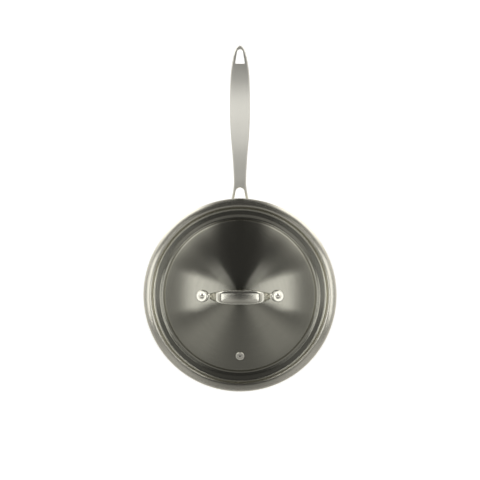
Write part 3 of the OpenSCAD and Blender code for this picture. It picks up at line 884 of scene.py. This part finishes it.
def turned_steel(name, colour, roughness, anisotropic, line_mm, spread, contrast=0.1, relief=0.12,
                 highlight_r=1000):
    """Steel brushed in circles about the Z axis: fine rings in its height, roughness and colour.
    spread is how often the rings change on their way round. The last argument is a radius beyond which the
    colour is painted brighter: a painted highlight."""
    t = material_tree(name)
    x, y, z = t.split(t.place())
    radius = t.off_axis(x, y)
    safe = t.math("MAXIMUM", radius, AXIS_CLEAR * MM)
    path = t.math("ADD", radius, t.math("MULTIPLY", z, -1.0))
    ring = t.combine(t.math("MULTIPLY", path, 1 / (line_mm * MM)),
                     t.math("MULTIPLY", t.math("DIVIDE", x, safe), spread),
                     t.math("MULTIPLY", t.math("DIVIDE", y, safe), spread))
    fine = t.noise(ring, 1.0, 3.0, 0.6)
    broad = t.noise(t.vector("MULTIPLY", ring, (0.13, 0.5, 0.5)), 1.0, 2.0)
    tone = t.blend(fine, broad, 0.5)
    low = tuple(c * (1 - contrast) for c in colour)
    # Past the radius given last the colour is painted brighter: a painted highlight, not a real change of
    # the steel.
    edge_highlight = t.grade(radius, highlight_r * MM, (highlight_r + HIGHLIGHT_SOFT) * MM)
    shade = t.add("ShaderNodeVectorMath", {0: t.ramp(tone, [(0.32, low), (0.68, colour)]),
                                           "Scale": t.math("MULTIPLY_ADD", edge_highlight, HIGHLIGHT_GAIN, 1.0)},
                  operation="SCALE").outputs[0]
    rough = t.span(tone, roughness * (1 + contrast), roughness * (1 - contrast))
    tangent = t.vector("NORMALIZE", t.combine(x, y, 0.0))
    return t.metal(shade, rough, t.bump(fine, relief, BRUSHED_RELIEF),
                   {"Anisotropic": anisotropic, "Tangent": tangent})


def brushed_steel(name, colour, roughness, anisotropic, line_mm, length_mm):
    """Steel brushed along Y: long fine lines that spread a reflection across the brushing."""
    t = material_tree(name)
    place = t.place()
    lines = t.vector("MULTIPLY", place, (1 / (line_mm * MM), 1 / (length_mm * MM), 1 / (line_mm * MM)))
    fine = t.noise(lines, 1.0, 3.0)
    tone = t.blend(fine, t.noise(place, 40.0, 2.0), 0.5)
    low = tuple(c * 0.95 for c in colour)
    shade = t.ramp(tone, [(0.35, low), (0.65, colour)])
    rough = t.span(tone, roughness - 0.03, roughness + 0.03)
    return t.metal(shade, rough, t.bump(fine, 0.08, BRUSHED_RELIEF),
                   {"Anisotropic": anisotropic, "Tangent": t.combine(1.0, 0.0, 0.0)})


def satin_steel(name, colour, roughness, grain_mm, relief):
    """Blasted or cast steel with a fine even grain and faint broad changes of tone."""
    t = material_tree(name)
    place = t.place()
    grain = t.noise(place, 1 / (grain_mm * MM), 2.0)
    tone = t.blend(grain, t.noise(place, 45.0, 3.0), 0.4)
    low = tuple(c * 0.93 for c in colour)
    shade = t.ramp(tone, [(0.35, low), (0.65, colour)])
    rough = t.span(tone, roughness - 0.04, roughness + 0.04)
    return t.metal(shade, rough, t.bump(grain, relief, GRAIN_RELIEF))


def dress(obj, material):
    """Gives every slot of an object the one material."""
    if not obj.material_slots:
        obj.data.materials.append(material)
    for s in obj.material_slots:
        s.material = material


dress(vessel, turned_steel("turned_vessel_steel", STEEL, roughness=0.23, anisotropic=0.95, line_mm=0.45,
                           spread=5, contrast=0.04, relief=0.04))
# The lid: its colour is painted dark all over (painted shade) and brighter again on the rolled edge (painted
# highlight).
dress(lid, turned_steel("turned_lid_steel_painted_shade_and_highlight", SHADED_LID_STEEL, roughness=0.165, anisotropic=0.97, line_mm=0.4,
                        spread=4, highlight_r=BEAD_HIGHLIGHT_R))
dress(nodes["base_cap"], turned_steel("turned_base_steel", BASE_STEEL, roughness=0.34, anisotropic=0.6,
                                      line_mm=0.5, spread=5))
dress(nodes["base_core"], satin_steel("disc_aluminium", DISC, roughness=0.45, grain_mm=0.5, relief=0.2))
# The handle's colour is painted lighter than the vessel's steel: painted light.
dress(long_handle, brushed_steel("satin_handle_steel_painted_light", SATIN_PAINTED_LIGHT, roughness=0.46, anisotropic=0.74,
                                 line_mm=0.3, length_mm=9))
dress(lid_handle, satin_steel("satin_strap_steel", STRAP_STEEL, roughness=0.18, grain_mm=0.3, relief=0.05))
dress(nodes["handle_rivets"], satin_steel("polished_rivet_steel", POLISHED, roughness=0.16, grain_mm=0.4,
                                          relief=0.03))
dress(nodes["lid_rivets"], satin_steel("polished_lid_rivet_steel", POLISHED, roughness=0.14, grain_mm=0.4,
                                       relief=0.03))
dress(eyelet, satin_steel("polished_eyelet_steel", POLISHED, roughness=0.22, grain_mm=0.4, relief=0.03))


# Floor, light and camera

FLOOR_REACH = 12000
FLOOR_GREY = 0.85
FLOOR_GLOW = 0.68

# Lamps hang on the ceiling and face down; radiance is what a mirror would show of one.
# Softboxes: name, inner and outer edge, front and back edge, radiance
CEILING_Z = 1300
SOFTBOXES = (("inner_softbox_", 240, 420, -120, 160, 1.25),
             ("softbox_", 420, 720, -220, 240, 1.3),
             ("outer_softbox_", 720, 1150, -380, 340, 1.5))
PANEL_C = (322, 273)
PANEL_SIZE = (200, 460)
PANEL_A = 36
PANEL_RADIANCE = 0.5

# World: grey levels from the front, 0, round to the back, 1
HIGH_WALLS = [(0, 0.2), (0.07, 0.45), (0.15, 0.48), (0.25, 0.25), (0.5, 0.19), (0.8, 0.14), (0.89, 0.04),
              (1, 0.04)]
LOW_WALLS = [(0, 0.2), (0.15, 0.33), (0.5, 0.62), (0.7, 1), (0.82, 2.2), (0.94, 2.2), (0.98, 0.3), (1, 0.05)]
CEILING_GLOW = 0.02

# Heights on the unit sphere between which the dark ceiling ends, the high walls give way to the low
# ones, and the white horizon begins
CEILING_EDGE = (0.998, 0.985)
WALLS_MEET = (0.62, 0.38)
HORIZON_EDGE = (0.12, 0.07)
STUDIO_TINT = (1, 0.99, 0.97, 1)


def floor():
    """A matt white floor that also glows for the camera, for metal and for glass."""
    corners = [(-FLOOR_REACH, -FLOOR_REACH, 0), (FLOOR_REACH, -FLOOR_REACH, 0),
               (FLOOR_REACH, FLOOR_REACH, 0), (-FLOOR_REACH, FLOOR_REACH, 0)]
    obj = add_mesh("floor", corners, [[0, 1, 2, 3]])
    t = material_tree("white_floor")
    path = t.add("ShaderNodeLightPath")
    seen = t.math("MAXIMUM", path.outputs["Is Camera Ray"], path.outputs["Is Transmission Ray"])
    seen = t.math("MAXIMUM", seen, path.outputs["Is Glossy Ray"])
    matt = t.add("ShaderNodeBsdfDiffuse", {"Color": (FLOOR_GREY, FLOOR_GREY, FLOOR_GREY, 1)})
    glow = t.add("ShaderNodeEmission", {"Color": (1, 1, 1, 1),
                                        "Strength": t.math("MULTIPLY", seen, FLOOR_GLOW)})
    both = t.add("ShaderNodeAddShader", {0: matt.outputs[0], 1: glow.outputs[0]})
    obj.data.materials.append(t.finish(both))


def overhead(name, centre, size, turn, radiance):
    """A rectangular soft lamp on the ceiling that faces down."""
    data = bpy.data.lights.new(name, "AREA")
    data.shape = "RECTANGLE"
    data.size, data.size_y = size[0] * MM, size[1] * MM
    data.energy = radiance * math.pi * data.size * data.size_y
    obj = bpy.data.objects.new(name, data)
    obj.location = Vector((*centre, CEILING_Z)) * MM
    obj.rotation_euler = (0, 0, math.radians(turn))
    bpy.context.scene.collection.objects.link(obj)


def lamps(side, name):
    """Three softboxes that widen outward, and one weaker panel set at an angle behind them."""
    for label, x0, x1, y0, y1, radiance in SOFTBOXES:
        overhead(label + name, (side * (x0 + x1) / 2, (y0 + y1) / 2), (x1 - x0, y1 - y0), 0, radiance)
    overhead("back_panel_" + name, (side * PANEL_C[0], PANEL_C[1]), PANEL_SIZE, -PANEL_A * side,
             PANEL_RADIANCE)


def world():
    """A plain studio: a white horizon, brighter low walls at the back corners, and dim high walls that
    end in a dark ceiling."""
    bpy.context.scene.world = bpy.data.worlds.new("studio")
    t = Tree(bpy.context.scene.world, "ShaderNodeOutputWorld")
    x, y, z = t.split(t.place("Generated"))
    flat = t.math("MAXIMUM", t.off_axis(x, y), 0.001)
    front_to_back = t.math("MULTIPLY_ADD", t.math("DIVIDE", y, flat), 0.5, 0.5)
    high = t.math("MULTIPLY", t.grey_ramp(front_to_back, HIGH_WALLS), t.grade(z, *CEILING_EDGE))
    low = t.grey_ramp(front_to_back, LOW_WALLS)
    wall = t.math("MULTIPLY_ADD", t.math("SUBTRACT", low, high), t.grade(z, *WALLS_MEET), high)
    level = t.math("MAXIMUM", t.math("ADD", wall, CEILING_GLOW), t.grade(z, *HORIZON_EDGE))
    t.finish(t.add("ShaderNodeBackground", {"Color": STUDIO_TINT, "Strength": level}))


floor()
world()
lamps(-1, "left")
lamps(1, "right")

camera = bpy.data.cameras.new("camera")
camera.angle = 2 * math.atan(PHOTO_PX / 2 * RIM_MM_PER_PX / CAMERA_ABOVE_RIM)
camera.clip_end = 20
camera_obj = bpy.data.objects.new("camera", camera)
camera_obj.location = (0, CAMERA_Y * MM, (RIM_Z + CAMERA_ABOVE_RIM) * MM)
bpy.context.scene.collection.objects.link(camera_obj)
bpy.context.scene.camera = camera_obj

bpy.context.scene.view_settings.view_transform = "Standard"
